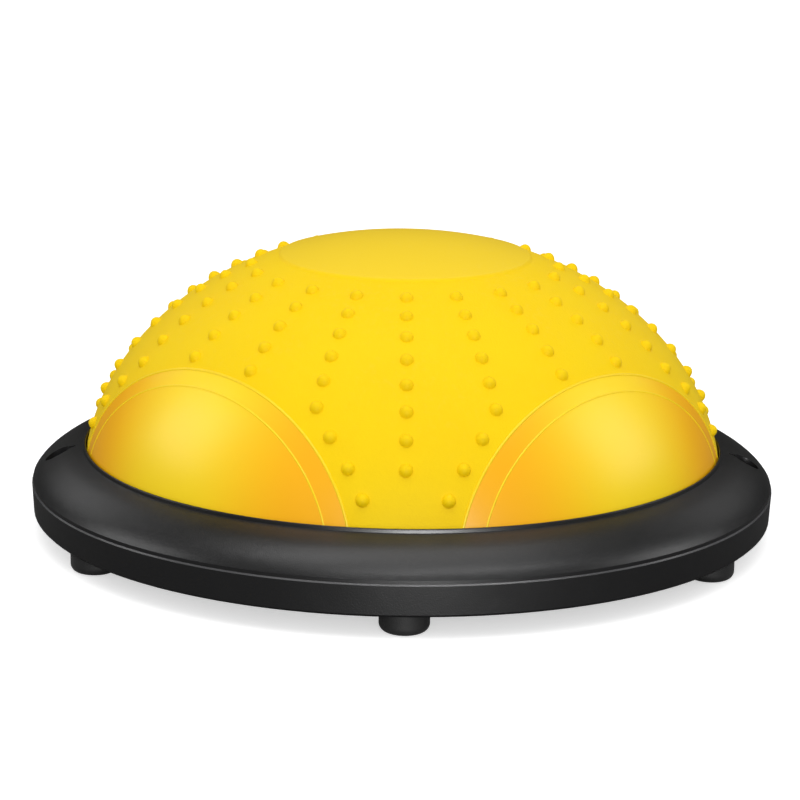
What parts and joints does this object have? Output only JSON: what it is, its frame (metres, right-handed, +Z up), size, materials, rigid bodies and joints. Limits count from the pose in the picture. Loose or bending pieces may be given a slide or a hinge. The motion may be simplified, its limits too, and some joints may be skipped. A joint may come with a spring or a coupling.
{
  "type": "balance dome trainer",
  "caption": "Air-filled yellow half-ball with massage nubs, clamped in a round black base on rubber feet, for balance exercise on either side.",
  "frame": {"origin": "on the floor under the dome's centre", "axes": "+Z up along the dome's axis, -Y to the front, where one foot stands, and +X to the right"},
  "size_m": [0.4599, 0.46, 0.1834],
  "materials": {
    "yellow_pvc": "soft moulded PVC, matte with satin pads",
    "black_shell": "fine-textured moulded plastic",
    "foot_rubber": "matte rubber",
    "valve_plastic": "smooth soft plastic",
    "zinc_steel": "zinc-plated"
  },
  "bodies": {
    "base": {"bladder_floor": "yellow_pvc", "top_ring": "black_shell", "base_tray": "black_shell", "valve_cup": "black_shell", "valve_body": "valve_plastic", "foot_1": "foot_rubber", "foot_2": "foot_rubber", "foot_3": "foot_rubber", "foot_4": "foot_rubber", "foot_5": "foot_rubber", "foot_6": "foot_rubber", "foot_washer_1": "zinc_steel", "foot_washer_2": "zinc_steel", "foot_washer_3": "zinc_steel", "foot_washer_4": "zinc_steel", "foot_washer_5": "zinc_steel", "foot_washer_6": "zinc_steel", "foot_screw_1": "zinc_steel", "foot_screw_2": "zinc_steel", "foot_screw_3": "zinc_steel", "foot_screw_4": "zinc_steel", "foot_screw_5": "zinc_steel", "foot_screw_6": "zinc_steel", "ring_screw_1": "zinc_steel", "ring_screw_2": "zinc_steel", "ring_screw_3": "zinc_steel", "ring_screw_4": "zinc_steel", "ring_screw_5": "zinc_steel", "ring_screw_6": "zinc_steel", "ring_screw_7": "zinc_steel", "ring_screw_8": "zinc_steel", "ring_screw_9": "zinc_steel", "ring_screw_10": "zinc_steel", "ring_screw_11": "zinc_steel", "ring_screw_12": "zinc_steel"},
    "dome": {"dome_shell": "yellow_pvc"},
    "plug": {"valve_plug": "valve_plastic"}
  },
  "joints": [
    {"name": "dome_give", "type": "slide", "parent": "base", "child": "dome", "axis": [0, 0, -1], "range_m": [0, 0.045], "stiffness_N_per_m": 12000, "deforming": ["dome_shell"]},
    {"name": "plug_pull", "type": "slide", "parent": "base", "child": "plug", "axis": [0, 0, -1], "range_m": [0, 0.015]}
  ]
}
